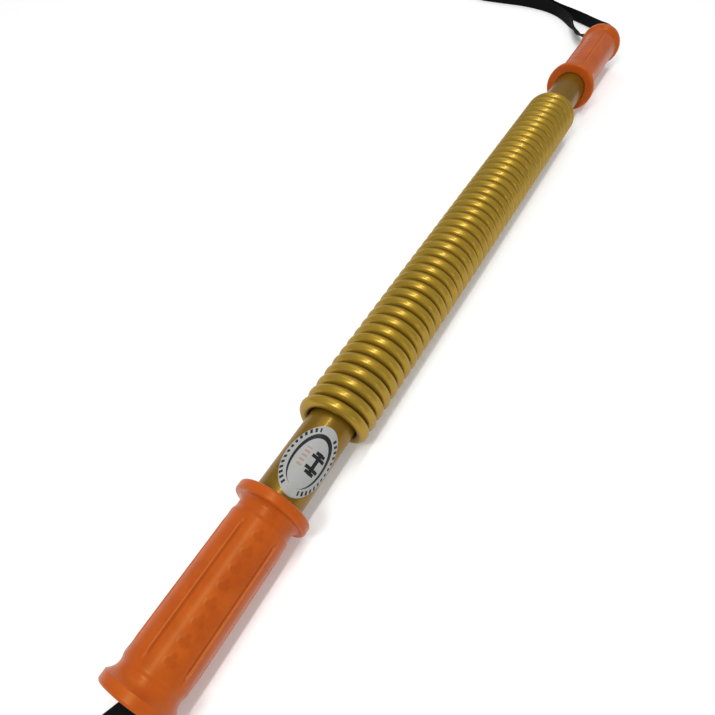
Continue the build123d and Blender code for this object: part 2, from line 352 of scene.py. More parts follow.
def new_material(name, **shader_values):
    """An empty material with a Principled shader. Returns the material, its tree and the shader."""
    material = bpy.data.materials.new(name)
    material.use_nodes = True
    tree = material.node_tree
    tree.nodes.clear()
    shader = tree.nodes.new("ShaderNodeBsdfPrincipled")
    output = tree.nodes.new("ShaderNodeOutputMaterial")
    link(tree, shader.outputs[0], output.inputs["Surface"])
    for label, value in shader_values.items():
        shader.inputs[label.replace("_", " ")].default_value = value
    return material, tree, shader


def object_place(tree):
    return tree.nodes.new("ShaderNodeTexCoord").outputs["Object"]


def rest_place(tree):
    """The place that a point of a bending piece has at rest, kept in an attribute."""
    return add_node(tree, "ShaderNodeAttribute", attribute_name="rest_place").outputs["Vector"]


def add_bump(tree, shader, height, strength, distance):
    bump = tree.nodes.new("ShaderNodeBump")
    bump.inputs["Strength"].default_value = strength
    bump.inputs["Distance"].default_value = distance
    link(tree, height, bump.inputs["Height"])
    link(tree, bump.outputs[0], shader.inputs["Normal"])


# ---- materials -------------------------------------------


def gold_paint(name, place_of, gold):
    """Gold metallic paint: fine flakes, a slow tone drift, dust, painted shade down between the turns and a
    painted shadow on the wire next to the tube.
    """
    dust_tone, shadow_tone = (0.5, 0.45, 0.36), (0.010, 0.007, 0.003)
    material, tree, shader = new_material(
        name,
        Metallic=0.55,
        Specular_IOR_Level=0.5,
        Specular_Tint=(0.55, 0.38, 0.12, 1),
        Coat_Weight=0.3,
        Coat_Roughness=0.1,
        Coat_IOR=1.4,
    )
    gold = Vector(gold)
    place = place_of(tree)
    flakes = use_group(tree, "Fine grain", place, Scale=2600.0)
    clouds = use_group(tree, "Slow clouds", place, Scale=45.0, Contrast=1.6)
    dust = use_group(tree, "Dust and marks", place, Scale=700.0, Amount=0.35)
    from_axis = use_group(tree, "Distance from the bar's axis", place).outputs["Distance"]
    toned = mix_colour(tree, clouds.outputs["Mask"], gold * 0.86, gold * 1.12)
    flaked = mix_colour(tree, remap(tree, flakes.outputs["Mask"], 0.45, 0.75, 0.0, 0.4), toned, gold * 1.45)
    in_spring = math_node(tree, "GREATER_THAN", from_axis, TUBE_RADIUS + 0.1 * MM)
    # Painted shade: the wire darkens towards the bar's axis, down between the turns.
    groove_shade = remap(tree, from_axis, COIL_RADIUS - 6 * MM, COIL_RADIUS - 4 * MM, 0.8, 0.0)
    groove_shaded = tint(tree, groove_shade, in_spring, flaked, settings().colours.groove_shade)
    deepest = remap(tree, from_axis, TUBE_RADIUS + 0.7 * MM, TUBE_RADIUS + 1.7 * MM, 0.9, 0.0)
    shaded = tint(tree, deepest, in_spring, groove_shaded, shadow_tone)
    link(tree, tint(tree, dust.outputs["Mask"], 0.5, shaded, dust_tone), shader.inputs["Base Color"])
    rough = remap(tree, flakes.outputs["Mask"], 0.3, 0.7, 0.29, 0.38)
    link(tree, math_node(tree, "ADD", rough, dust.outputs["Mask"], clamp=True), shader.inputs["Roughness"])
    add_bump(tree, shader, flakes.outputs["Height"], 0.12, 0.05 * MM)
    return material


def grip_plastic():
    """Soft orange moulded plastic: cloudy tone, matt grain, painted shade on the studs and in the panel
    corners, a painted highlight on the bead crests, and dust.
    """
    orange = Vector(settings().colours.orange)
    dust_tone = (0.62, 0.30, 0.14)
    deep = orange * 0.84
    warm = orange * Vector((1.06, 1.22, 1.15))
    # Painted highlight: the pale tone laid on the beads' crests.
    bead_highlight_tone = orange * Vector((1.35, 2.2, 4))
    material, tree, shader = new_material(
        "orange moulded plastic",
        Specular_IOR_Level=0.24,
        Specular_Tint=(1, 0.85, 0.35, 1),
        Subsurface_Weight=0.03,
        Subsurface_Radius=(1.0, 0.35, 0.1),
        Subsurface_Scale=2 * MM,
    )
    place = object_place(tree)
    grain = use_group(tree, "Fine grain", place, Scale=1500.0)
    clouds = use_group(tree, "Slow clouds", place, Scale=75.0, Contrast=2.2)
    dust = use_group(tree, "Dust and marks", place, Scale=500.0, Amount=0.4)
    tone = mix_colour(tree, clouds.outputs["Mask"], deep, warm)
    # The studs and the panels' corners get painted shade, the beads a painted highlight, from masks stored on
    # the mesh.
    marks = (("stud", 0.45, deep * 0.86), ("corner_shade", 0.6, deep * 0.5), ("bead", 0.75, bead_highlight_tone))
    for mark, share, mark_tone in marks:
        marked = add_node(tree, "ShaderNodeAttribute", attribute_name=mark)
        tone = tint(tree, marked.outputs["Fac"], share, tone, mark_tone)
    link(tree, tint(tree, dust.outputs["Mask"], 0.12, tone, dust_tone), shader.inputs["Base Color"])
    rough = remap(tree, grain.outputs["Mask"], 0.3, 0.7, 0.27, 0.35)
    link(tree, math_node(tree, "ADD", rough, dust.outputs["Mask"], clamp=True), shader.inputs["Roughness"])
    add_bump(tree, shader, grain.outputs["Height"], 0.2, 0.06 * MM)
    return material


def webbing_yarn():
    """Black woven webbing, read from the strap's own map: u along and v across, both in metres."""
    yarn = settings().colours.webbing
    material, tree, shader = new_material(
        "black woven webbing", Specular_IOR_Level=0.1, Sheen_Weight=0.01, Sheen_Roughness=0.5
    )
    uv = tree.nodes.new("ShaderNodeUVMap")
    uv.uv_map = "webbing"
    parts = add_node(tree, "ShaderNodeSeparateXYZ")
    link(tree, uv.outputs[0], parts.inputs[0])
    rib_spacing, yarn_spacing = 1.3 * MM, 0.95 * MM
    along = math_node(tree, "MULTIPLY", parts.outputs["X"], 2 * math.pi / rib_spacing)
    across = math_node(tree, "MULTIPLY", parts.outputs["Y"], 2 * math.pi / yarn_spacing)
    ribs = math_node(tree, "SINE", math_node(tree, "ADD", along, math_node(tree, "MULTIPLY", across, 0.5)))
    yarns = math_node(tree, "SINE", across)
    crossed = math_node(tree, "MULTIPLY", ribs, yarns)
    weave = math_node(tree, "ADD", crossed, math_node(tree, "ABSOLUTE", yarns))
    height = remap(tree, weave, -1.0, 2.0, 0.0, 1.0)
    fuzz = use_group(tree, "Dust and marks", object_place(tree), Scale=900.0, Amount=0.5)
    fuzz_tone = (0.02, 0.021, 0.022)
    toned = mix_colour(tree, height, yarn, Vector(yarn) * 3)
    link(tree, tint(tree, fuzz.outputs["Mask"], 0.25, toned, fuzz_tone), shader.inputs["Base Color"])
    link(tree, remap(tree, height, 0.0, 1.0, 0.75, 0.55), shader.inputs["Roughness"])
    add_bump(tree, shader, height, 0.7, 0.25 * MM)
    return material


def knot_yarn():
    """Black yarn of the hidden knots."""
    yarn = settings().colours.webbing
    material, tree, shader = new_material("knot yarn", Specular_IOR_Level=0.3)
    grain = use_group(tree, "Fine grain", object_place(tree), Scale=900.0)
    toned = mix_colour(tree, grain.outputs["Mask"], yarn, Vector(yarn) * 3)
    link(tree, toned, shader.inputs["Base Color"])
    link(tree, remap(tree, grain.outputs["Mask"], 0.3, 0.7, 0.6, 0.8), shader.inputs["Roughness"])
    add_bump(tree, shader, grain.outputs["Height"], 0.6, 0.3 * MM)
    return material


def bare_wire():
    """Welded wire inside the spring, with heat tint and grain."""
    material, tree, shader = new_material("welded wire", Metallic=0.9)
    place = object_place(tree)
    grain = use_group(tree, "Fine grain", place, Scale=1200.0)
    clouds = use_group(tree, "Slow clouds", place, Scale=220.0, Contrast=2.0)
    toned = mix_colour(tree, clouds.outputs["Mask"], (0.20, 0.16, 0.11), (0.42, 0.38, 0.32))
    link(tree, toned, shader.inputs["Base Color"])
    link(tree, remap(tree, grain.outputs["Mask"], 0.3, 0.7, 0.4, 0.6), shader.inputs["Roughness"])
    add_bump(tree, shader, grain.outputs["Height"], 0.3, 0.08 * MM)
    return material


def oval_distance(tree, along, around, half_length, half_width):
    """1 on an oval's outline, less inside it."""
    x = math_node(tree, "DIVIDE", along, half_length)
    y = math_node(tree, "DIVIDE", around, half_width)
    total = math_node(tree, "ADD", math_node(tree, "MULTIPLY", x, x), math_node(tree, "MULTIPLY", y, y))
    return math_node(tree, "SQRT", total)


def between(tree, value, low, high):
    """1 where low < value < high."""
    above = math_node(tree, "GREATER_THAN", value, low)
    return math_node(tree, "MULTIPLY", above, math_node(tree, "LESS_THAN", value, high))


def bar_mark(tree, along, around, middle, half_long, half_wide):
    """1 inside an upright block of the print."""
    offset = math_node(tree, "ABSOLUTE", math_node(tree, "SUBTRACT", along, middle))
    long_side = math_node(tree, "LESS_THAN", offset, half_long)
    wide_side = math_node(tree, "LESS_THAN", math_node(tree, "ABSOLUTE", around), half_wide)
    return math_node(tree, "MULTIPLY", long_side, wide_side)


def crescent_line(tree, along, around):
    """1 on the printed crescent: inside one oval and outside a smaller one moved towards the grip."""
    outside = oval_distance(tree, along, around, 15.9 * MM, 9.9 * MM)
    moved = math_node(tree, "ADD", along, 1.4 * MM)
    inside = oval_distance(tree, moved, around, 14.6 * MM, 8.3 * MM)
    within = math_node(tree, "LESS_THAN", outside, 1.0)
    return math_node(tree, "MULTIPLY", within, math_node(tree, "GREATER_THAN", inside, 1.0))


def tick_rim(tree, along, around, half_length, half_width):
    """1 on the ticks that run round the label's rim, with none at its two pointed ends."""
    ticks_round = 34
    oval = oval_distance(tree, along, around, half_length, half_width)
    clock = math_node(
        tree,
        "ARCTAN2",
        math_node(tree, "DIVIDE", around, half_width),
        math_node(tree, "DIVIDE", along, half_length),
    )
    wave = math_node(tree, "SINE", math_node(tree, "MULTIPLY", clock, ticks_round))
    off_end = math_node(tree, "ABSOLUTE", math_node(tree, "SINE", clock))
    rim = math_node(
        tree, "MULTIPLY", math_node(tree, "GREATER_THAN", off_end, 0.3), between(tree, oval, 0.79, 0.91)
    )
    return math_node(tree, "MULTIPLY", math_node(tree, "GREATER_THAN", wave, 0.0), rim)


def dumbbell_sign(tree, along, around):
    """1 on the dumbbell: a handle and two plates at each end."""
    sign = bar_mark(tree, along, around, 0.0, 6.6 * MM, 1.0 * MM)
    for offset, height in ((3.3, 3.9), (-3.3, 3.9), (5.5, 2.7), (-5.5, 2.7)):
        plate = bar_mark(tree, along, around, offset * MM, 0.95 * MM, height * MM)
        sign = math_node(tree, "ADD", sign, plate)
    return sign


def stripe_row(tree, along, around):
    """1 on the short stripes beside the dumbbell."""
    stripe_spacing = 2.6 * MM
    row = bar_mark(tree, along, around, 0.0, 6.0 * MM, 1.5 * MM)
    wave = math_node(tree, "SINE", math_node(tree, "MULTIPLY", along, 2 * math.pi / stripe_spacing))
    return math_node(tree, "MULTIPLY", row, math_node(tree, "GREATER_THAN", wave, 0.1))


def label_print():
    """White film with a plain oval line, a rim of ticks, a dumbbell sign and pale red stripes."""
    film = settings().colours.film
    ink, red = (0.010, 0.011, 0.012), (0.36, 0.20, 0.15)
    material, tree, shader = new_material("printed label film", Specular_IOR_Level=0.25)
    place = object_place(tree)
    radial = use_group(tree, "Distance from the bar's axis", place)
    middle_x = (LABEL_BOX[0].x + LABEL_BOX[1].x) / 2
    half_length = (LABEL_BOX[1].x - LABEL_BOX[0].x) / 2
    half_width = TUBE_RADIUS * LABEL_HALF_ANGLE
    along = math_node(tree, "SUBTRACT", radial.outputs["Along"], middle_x)
    turn = math_node(tree, "SUBTRACT", radial.outputs["Angle"], LABEL_AT)
    around = math_node(tree, "MULTIPLY", turn, TUBE_RADIUS)
    rim = tick_rim(tree, along, around, half_length, half_width)
    sign = dumbbell_sign(tree, along, math_node(tree, "SUBTRACT", around, 3 * MM))
    printed = math_node(tree, "ADD", crescent_line(tree, along, around), math_node(tree, "ADD", rim, sign))
    stripes = stripe_row(tree, along, math_node(tree, "ADD", around, 4 * MM))
    clouds = use_group(tree, "Slow clouds", place, Scale=160.0, Contrast=1.5)
    grain = use_group(tree, "Fine grain", place, Scale=1800.0)
    plain = mix_colour(tree, clouds.outputs["Mask"], Vector(film) * 0.9, film)
    striped = tint(tree, stripes, 0.8, plain, red)
    inked = mix_colour(tree, math_node(tree, "MINIMUM", printed, 1.0), striped, ink)
    link(tree, inked, shader.inputs["Base Color"])
    link(tree, remap(tree, grain.outputs["Mask"], 0.3, 0.7, 0.42, 0.55), shader.inputs["Roughness"])
    add_bump(tree, shader, grain.outputs["Height"], 0.05, 0.03 * MM)
    return material


def floor_finish():
    """Pale matt studio floor with a faint unevenness."""
    pale = settings().colours.floor
    material, tree, shader = new_material(
        "pale floor", Specular_IOR_Level=0.1, Emission_Color=(1, 1, 1, 1), Emission_Strength=0.15
    )
    clouds = use_group(tree, "Slow clouds", object_place(tree), Scale=1.5, Contrast=1.0)
    toned = mix_colour(tree, clouds.outputs["Mask"], Vector(pale) * 0.99, pale)
    link(tree, toned, shader.inputs["Base Color"])
    link(tree, remap(tree, clouds.outputs["Mask"], 0.0, 1.0, 0.75, 0.85), shader.inputs["Roughness"])
    return material


def finish_of(name, maker, *given):
    """The material of that name, made the first time it is asked for."""
    return bpy.data.materials.get(name) or maker(*given)


def wear(piece, material):
    """Gives a piece or a CAD node one material, in every slot it has."""
    if not piece.material_slots:
        piece.data.materials.append(material)
    for place in piece.material_slots:
        place.material = material


# ---- modelling helpers -----------------------------------


def clear_selection():
    if bpy.context.object and bpy.context.object.mode != "OBJECT":
        bpy.ops.object.mode_set(mode="OBJECT")
    bpy.ops.object.select_all(action="DESELECT")


def select_only(piece):
    """Makes a piece the active one, with nothing else selected."""
    clear_selection()
    bpy.context.view_layer.objects.active = piece
    piece.select_set(True)


def place_in_mesh():
    """Moves the active object's place and turn into its mesh."""
    bpy.ops.object.transform_apply(location=True, rotation=True, scale=True)


def apply_modifier(piece, kind, **values):
    """Adds a modifier, sets it and applies it."""
    modifier = piece.modifiers.new(kind.title(), kind)
    for name, value in values.items():
        setattr(modifier, name, value)
    bpy.ops.object.modifier_apply(modifier=modifier.name)


def close_ends():
    """Fills the open ends of the mesh being edited."""
    bpy.ops.mesh.select_mode(type="EDGE")
    bpy.ops.mesh.select_all(action="DESELECT")
    bpy.ops.mesh.select_non_manifold()
    bpy.ops.mesh.fill_holes(sides=0)


def face_outwards():
    bpy.ops.mesh.select_all(action="SELECT")
    bpy.ops.mesh.normals_make_consistent(inside=False)


def eased(share):
    """A share from 0 to 1 that starts and stops gently."""
    return share * share * (3 - 2 * share)


def arc_points(centre, radius, start, end, count):
    """Points on an arc in the outline's plane, from one angle to another in degrees."""
    step = (end - start) / count
    angles = [math.radians(start + step * i) for i in range(count + 1)]
    return [(centre[0] + radius * math.cos(a), centre[1] + radius * math.sin(a)) for a in angles]


# ---- straps ----------------------------------------------

# Points of each loop from the end face of its grip: away from the bar, along Y and up, in millimetres.
# The two ends of a loop leave the same hole one above the other, and the webbing then lies on its edge.
NEAR_STRAP_ROUTE = [
    (0, 0.4, 22.3),
    (-24, 7, 22.3),
    (-53, 17, 12),
    (-82, 31, 5.5),
    (-111, 49, 5.5),
    (-137, 74, 5.5),
    (-169, 94, 5.5),
    (-204, 88, 5.5),
    (-222, 57, 5.5),
    (-209, 24, 5.5),
    (-176, 9, 5.5),
    (-142, 11, 5.5),
    (-109, 2, 5.5),
    (-80, -9, 5.5),
    (-53, -9, 11),
    (-26, -3, 19.4),
    (0, -0.4, 19.4),
]
FAR_STRAP_ROUTE = [
    (0, 0.4, 22.3),
    (17, 9, 21.5),
    (35, 28, 7),
    (54, 38, 4.8),
    (73, 52, 5.6),
    (91, 74, 5.5),
    (94, 107, 5.5),
    (86, 139, 5.5),
    (80, 169, 5.5),
    (96, 189, 5.5),
    (124, 191, 5.5),
    (144, 172, 5.5),
    (142, 140, 5.5),
    (118, 110, 5.5),
    (95, 78, 5.5),
    (86, 46, 5.5),
    (70, 18, 7),
    (33, -3, 19.4),
    (0, -0.4, 19.4),
]

# How far the webbing is turned on edge, from 0 flat to 90 upright, at shares of the loop's length.
NEAR_STRAP_TURN = [(0.0, 0), (0.05, 0), (0.2, 90), (0.8, 90), (0.95, 0), (1.0, 0)]
FAR_STRAP_TURN = [(0.0, 0), (0.03, 0), (0.08, 15), (0.125, 35), (0.165, 90), (0.87, 90), (0.95, 0), (1.0, 0)]


def smooth_line(name, points):
    """The smooth line that follows a route: a NURBS curve whose control points are the route's points."""
    curve = bpy.data.curves.new(name, "CURVE")
    curve.dimensions = "3D"
    curve.resolution_u = 12
    spline = curve.splines.new("NURBS")
    spline.points.add(len(points) - 1)
    for place, point in zip(spline.points, points):
        place.co = (*point, 1)
    spline.order_u = 3
    spline.use_endpoint_u = True
    holder = bpy.data.objects.new(name, curve)
    bpy.context.scene.collection.objects.link(holder)
    bpy.context.view_layer.update()
    evaluated = holder.evaluated_get(bpy.context.evaluated_depsgraph_get())
    line = bpy.data.meshes.new_from_object(evaluated)
    followed = [vertex.co.copy() for vertex in line.vertices]
    bpy.data.meshes.remove(line)
    bpy.data.objects.remove(holder)
    bpy.data.curves.remove(curve)
    return followed


def even_points(points, step):
    """Points spaced evenly along a line, with their distance from its start."""
    travelled = [0.0]
    for a, b in zip(points, points[1:]):
        travelled.append(travelled[-1] + (b - a).length)
    count = max(8, round(travelled[-1] / step))
    placed, index = [], 0
    for i in range(count + 1):
        goal = travelled[-1] * i / count
        while index < len(points) - 2 and travelled[index + 1] < goal:
            index += 1
        span = travelled[index + 1] - travelled[index]
        share = (goal - travelled[index]) / span if span > 0 else 0
        placed.append((points[index].lerp(points[index + 1], share), goal))
    return placed


def turn_at(turns, share):
    """The webbing's turn at a share of its length, easing between the given ones, in radians."""
    for (start, low), (end, high) in zip(turns, turns[1:]):
        if share <= end:
            return math.radians(low + (high - low) * eased((share - start) / (end - start)))
    return math.radians(turns[-1][1])


def squeeze_at(travelled, length, share, reach):
    """The webbing's width there as a share of its full width: it is gathered where it goes through a hole."""
    return share + (1 - share) * eased(min(1.0, min(travelled, length - travelled) / reach))


def webbing_outline(width, thick):
    """The webbing's section as (across, up) points: flat faces with rounded selvedges."""
    round_radius = thick / 2
    reach = width / 2 - round_radius
    right = arc_points((reach, 0), round_radius, -90, 90, 6)
    top = [(reach * share, round_radius) for share in (0.6, 0.2, -0.2, -0.6)]
    left = arc_points((-reach, 0), round_radius, 90, 270, 6)
    bottom = [(reach * share, -round_radius) for share in (-0.6, -0.2, 0.2, 0.6)]
    return right + top + left + bottom


def make_webbing(name, points, turns, sizes):
    """A flat strap that follows a line, turned on edge as it goes. Returns the piece and its line."""
    width = sizes.width
    line = even_points(points, sizes.step)
    length = line[-1][1]
    outline = webbing_outline(width, sizes.thick)
    vertices, places = [], []
    for i, (point, travelled) in enumerate(line):
        before = line[max(i - 1, 0)][0]
        after = line[min(i + 1, len(line) - 1)][0]
        ahead = (after - before).normalized()
        side = Vector((0, 0, 1)).cross(ahead).normalized()
        up = ahead.cross(side)
        angle = turn_at(turns, travelled / length)
        across = side * math.cos(angle) + up * math.sin(angle)
        face = ahead.cross(across)
        gathered = squeeze_at(travelled, length, sizes.gathered, sizes.gather_reach)
        for a, b in outline:
            vertices.append(point + across * a * gathered + face * b)
            places.append((travelled, a if b >= 0 else a + width))
    count = len(outline)
    faces = []
    for i in range(len(line) - 1):
        for j in range(count):
            k = (j + 1) % count
            faces.append((i * count + j, i * count + k, (i + 1) * count + k, (i + 1) * count + j))
    faces.append(tuple(reversed(range(count))))
    faces.append(tuple(range((len(line) - 1) * count, len(line) * count)))
    mesh = bpy.data.meshes.new(name)
    mesh.from_pydata([tuple(v) for v in vertices], [], faces)
    mesh.update()
    uv = mesh.uv_layers.new(name="webbing")
    for loop in mesh.loops:
        uv.data[loop.index].uv = places[loop.vertex_index]
    piece = bpy.data.objects.new(name, mesh)
    bpy.context.scene.collection.objects.link(piece)
    select_only(piece)
    bpy.ops.object.mode_set(mode="EDIT")
    face_outwards()
    bpy.ops.object.mode_set(mode="OBJECT")
    bpy.ops.object.shade_smooth_by_angle(angle=math.radians(50))
    return piece, [point for point, _ in line]


class BAR_OT_make_straps(bpy.types.Operator):
    """Makes the two webbing wrist loops that come out of the grips' ends"""

    bl_idname = "bending_bar.make_straps"
    bl_label = "Straps"

    def execute(self, context):
        sizes = settings().strap
        finish = finish_of("black woven webbing", webbing_yarn)
        ends = (
            ("near_wrist_strap", "near_strap", "near_handle", BAR_START, NEAR_STRAP_ROUTE, NEAR_STRAP_TURN),
            ("far_wrist_strap", "far_strap", "far_handle", BAR_END, FAR_STRAP_ROUTE, FAR_STRAP_TURN),
        )
        for name, node, body, end_x, route, turns in ends:
            points = [Vector((end_x + x * MM, y * MM, z * MM)) for x, y, z in route]
            strap, line = make_webbing(name, smooth_line(name + "_line", points), turns, sizes)
            wear(strap, finish)
            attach(strap, body)
            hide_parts(node)
        return {"FINISHED"}


# ---- grips -----------------------------------------------


def eased_step(middle, reach, before, after):
    """Outline points of a soft step from one radius to another."""
    rings = 8
    return [
        (middle + reach * (2 * i / rings - 1), before + (after - before) * eased(i / rings))
        for i in range(rings + 1)
    ]


def grip_outline(sizes):
    """The sleeve's outline as (x, radius): from the strap hole round the outside and back by the bore."""
    neck = TUBE_RADIUS + sizes.neck_wall
    hand = TUBE_RADIUS + sizes.tube_wall
    outer = sizes.outer_flange / 2
    hole = sizes.strap_hole / 2
    rim = sizes.flange_round
    flange_start = GRIP_LENGTH - sizes.inner_thick
    reach, bore_bevel = 1.6 * MM, 0.5 * MM
    taper_rings, hollow = 8, 2.2
    outline = [(0, hole), (0, (hole + outer) / 2)]
    outline += arc_points((rim, outer - rim), rim, 180, 90, 6)
    outline += [(sizes.outer_thick, outer)]
    for i in range(1, taper_rings + 1):
        share = i / taper_rings
        drop = 1 - (1 - share) ** hollow
        outline.append((sizes.outer_thick + sizes.outer_taper * share, outer + (neck - outer) * drop))
    outline += eased_step(sizes.hand_start, reach, neck, hand)
    start, end = sizes.hand_start + 1.2 * reach, sizes.hand_end - 1.2 * reach
    rings = round((end - start) / sizes.ring_step)
    outline += [(start + (end - start) * i / rings, hand) for i in range(rings + 1)]
    outline += eased_step(sizes.hand_end, reach, hand, neck)
    outline += arc_points(
        (flange_start - sizes.inner_fillet, neck + sizes.inner_fillet), sizes.inner_fillet, 270, 360, 6
    )[1:]
    outline += arc_points((flange_start + rim, FLANGE_RADIUS - rim), rim, 180, 90, 6)
    outline += arc_points((GRIP_LENGTH - rim, FLANGE_RADIUS - rim), rim, 90, 0, 6)
    outline += [(GRIP_LENGTH, TUBE_RADIUS + bore_bevel), (GRIP_LENGTH - bore_bevel, TUBE_RADIUS)]
    outline += [(GRIP_LENGTH / 2, TUBE_RADIUS), (sizes.end_wall, TUBE_RADIUS), (sizes.end_wall, hole)]
    return outline


def sweep_rings(name, outline, start_x, around):
    """A closed sleeve made of rings, each drawn out from the last and scaled to its radius."""
    clear_selection()
    x, radius = outline[0]
    bpy.ops.mesh.primitive_circle_add(
        vertices=around,
        radius=radius,
        location=(start_x + x, 0, AXIS_HEIGHT),
        rotation=(0, math.pi / 2, 0),
    )
    piece = bpy.context.object
    piece.name = name
    place_in_mesh()
    bpy.ops.object.mode_set(mode="EDIT")
    bpy.ops.mesh.select_all(action="SELECT")
    for (x_before, before), (x, radius) in zip(outline, outline[1:] + outline[:1]):
        bpy.ops.mesh.extrude_region_move(TRANSFORM_OT_translate={"value": (x - x_before, 0, 0)})
        growth = radius / before
        if abs(growth - 1) > 1e-9:
            centre = (start_x + x, 0, AXIS_HEIGHT)
            bpy.ops.transform.resize(value=(1, growth, growth), center_override=centre)
    bpy.ops.mesh.select_all(action="SELECT")
    bpy.ops.mesh.remove_doubles(threshold=0.005 * MM)
    face_outwards()
    bpy.ops.object.mode_set(mode="OBJECT")
    return piece


def weight_group(piece, name, weight_of):
    """A vertex group whose weights come from each vertex's place."""
    group = piece.vertex_groups.new(name=name)
    for vertex in piece.data.vertices:
        weight = weight_of(vertex.co)
        if weight > 0:
            group.add([vertex.index], weight, "REPLACE")
    return name


def stud_weight(along, around):
    """Height share of a three-lobed stud at a place in millimetres from its middle."""
    lobes, lobe_radius, rim = ((1.5, 0.0), (-0.9, 1.45), (-0.9, -1.45)), 1.75, 0.45
    nearest = min(math.hypot(along - a, around - b) for a, b in lobes)
    stem = max(abs(around) - 0.5, abs(along + 2.0) - 1.3)
    return max(0.0, min(1.0, (lobe_radius - min(nearest, stem + 1.55)) / rim))


def angle_off_panel(place, sizes):
    """Angle round the grip from the middle of the nearest panel to a place."""
    spacing = 2 * math.pi / sizes.panels
    off_first = math.atan2(place.z - AXIS_HEIGHT, place.y) - sizes.panel_at
    return (off_first + spacing / 2) % spacing - spacing / 2


def sculpt_panels(grip, sizes, start_x):
    """Presses the finger panels into the hand zone, with a bead along both sides and a row of studs."""
    hand = TUBE_RADIUS + sizes.tube_wall
    low = start_x + sizes.hand_start + sizes.panel_margin
    high = start_x + sizes.hand_end - sizes.panel_margin
    half = sizes.panel_angle / 2
    cell = 2 * math.pi / sizes.around
    bead_reach, corner_in, corner_reach = 1.5 * cell, 1.6 * cell, 1.3 * cell

    def on_outside(place):
        return math.hypot(place.y, place.z - AXIS_HEIGHT) > hand - 0.1 * MM

    def end_fade(place):
        share = min(place.x - low, high - place.x) / sizes.panel_fade
        return max(0.0, min(1.0, share))

    def in_panel(place):
        if not on_outside(place) or abs(angle_off_panel(place, sizes)) > half - 0.5 * cell:
            return 0.0
        return end_fade(place)

    def on_bead(place):
        if not on_outside(place):
            return 0.0
        off_side = abs(abs(angle_off_panel(place, sizes)) - half - 0.5 * cell) / bead_reach
        return max(0.0, 1 - off_side) * end_fade(place)

    # Mask of painted shade in the panels' corners, just inside their sides.
    def corner_shade_weight(place):
        off_side = abs(half - corner_in - abs(angle_off_panel(place, sizes))) / corner_reach
        return max(0.0, 1 - off_side) * in_panel(place)

    def on_stud(place):
        if not in_panel(place):
            return 0.0
        middle = (low + high) / 2 + sizes.stud_shift
        position = (place.x - middle) / sizes.stud_pitch + (sizes.studs - 1) / 2
        nearest = round(position)
        if not 0 <= nearest < sizes.studs:
            return 0.0
        along = (position - nearest) * sizes.stud_pitch / MM
        around = angle_off_panel(place, sizes) * hand / MM
        return stud_weight(along, around)

    select_only(grip)
    steps = (
        ("studs", on_stud, sizes.stud_height),
        ("beads", on_bead, sizes.ridge),
        ("panels", in_panel, -sizes.panel_depth),
    )
    # Masks for the plastic's colour: painted shade on the studs and in the panels' corners, a painted
    # highlight on the beads.
    for name, weight_of in (("stud", on_stud), ("corner_shade", corner_shade_weight), ("bead", on_bead)):
        marks = grip.data.attributes.new(name, "FLOAT", "POINT")
        for vertex, mark in zip(grip.data.vertices, marks.data):
            mark.value = weight_of(vertex.co)
    groups = [weight_group(grip, name, weight_of) for name, weight_of, _ in steps]
    for group, (_, _, height) in zip(groups, steps):
        apply_modifier(grip, "DISPLACE", vertex_group=group, strength=height, mid_level=0.0)
    grip.vertex_groups.clear()


class BAR_OT_make_grips(bpy.types.Operator):
    """Makes the two moulded grips with their flanges, finger panels and studs"""

    bl_idname = "bending_bar.make_grips"
    bl_label = "Grips"

    def execute(self, context):
        sizes = settings().grip
        finish = finish_of("orange moulded plastic", grip_plastic)
        near = sweep_rings("near_moulded_grip", grip_outline(sizes), BAR_START, sizes.around)
        sculpt_panels(near, sizes, BAR_START)
        bpy.ops.object.shade_smooth_by_angle(angle=math.radians(40))
        select_only(near)
        bpy.ops.object.duplicate(linked=False)
        far = bpy.context.object
        far.name = "far_moulded_grip"
        far.data.transform(Matrix.Rotation(math.pi, 4, "Z"))
        for grip, node, body in ((near, "near_grip", "near_handle"), (far, "far_grip", "far_handle")):
            wear(grip, finish)
            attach(grip, body)
            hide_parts(node)
        return {"FINISHED"}


# ---- spring ----------------------------------------------


def wind_wire(name, start_x, start_turns, turns):
    """A length of the spring's wire, start_turns after its near end, closed at both ends."""
    sizes = settings().spring
    mean_radius = COIL_RADIUS - sizes.wire / 2
    angle = sizes.start_angle + 2 * math.pi * start_turns
    clear_selection()
    bpy.ops.mesh.primitive_circle_add(vertices=sizes.sides, radius=sizes.wire / 2, fill_type="NOTHING")
    piece = bpy.context.object
    piece.name = name
    bpy.ops.object.mode_set(mode="EDIT")
    bpy.ops.mesh.select_all(action="SELECT")
    bpy.ops.transform.translate(value=(0, mean_radius, 0))
    bpy.ops.object.mode_set(mode="OBJECT")
    apply_modifier(
        piece,
        "SCREW",
        axis="X",
        angle=2 * math.pi * turns,
        screw_offset=PITCH * turns,
        steps=round(sizes.steps * turns),
        render_steps=round(sizes.steps * turns),
        use_smooth_shade=True,
    )
    piece.rotation_euler = (angle, 0, 0)
    piece.location = (start_x + start_turns * PITCH, 0, AXIS_HEIGHT)
    place_in_mesh()
    bpy.ops.object.mode_set(mode="EDIT")
    close_ends()
    face_outwards()
    bpy.ops.object.mode_set(mode="OBJECT")
    return piece


